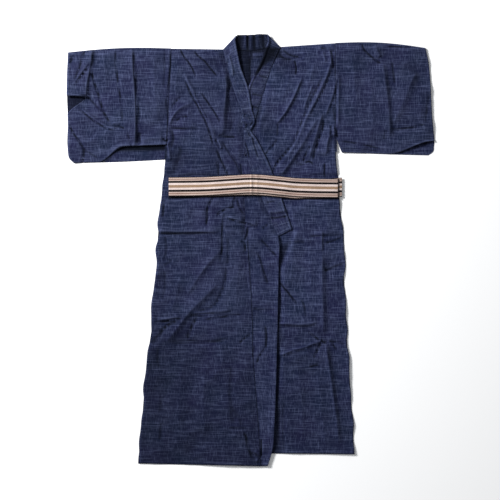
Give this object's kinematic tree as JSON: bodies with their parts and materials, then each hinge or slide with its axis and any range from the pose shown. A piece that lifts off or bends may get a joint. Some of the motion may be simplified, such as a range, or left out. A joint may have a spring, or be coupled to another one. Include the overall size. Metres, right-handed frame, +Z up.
{
  "type": "cotton yukata robe laid flat with its own folded belt",
  "caption": "Light unlined cotton robe with wide sleeves, laid flat face up, fronts crossed, its own striped belt folded across the waist.",
  "frame": {"origin": "on the surface the robe lies on, under the middle of its outline", "axes": "+Y from hem to neck, +X to the wearer's left, +Z up from the surface"},
  "size_m": [1.2838, 1.5102, 0.0126],
  "materials": {
    "navy_cotton": "plain-woven navy cotton with a fine slubbed check, washed and creased, matt",
    "navy_cotton_collar": "the same cotton folded double and pressed",
    "striped_band": "firm cotton band striped lengthwise in cream, tan, white and dark brown"
  },
  "bodies": {
    "root": {"body_right": "navy_cotton", "body_left": "navy_cotton", "okumi_right": "navy_cotton", "okumi_left": "navy_cotton", "sleeve_right": "navy_cotton", "sleeve_left": "navy_cotton", "collar": "navy_cotton_collar", "belt": "striped_band"}
  },
  "joints": []
}
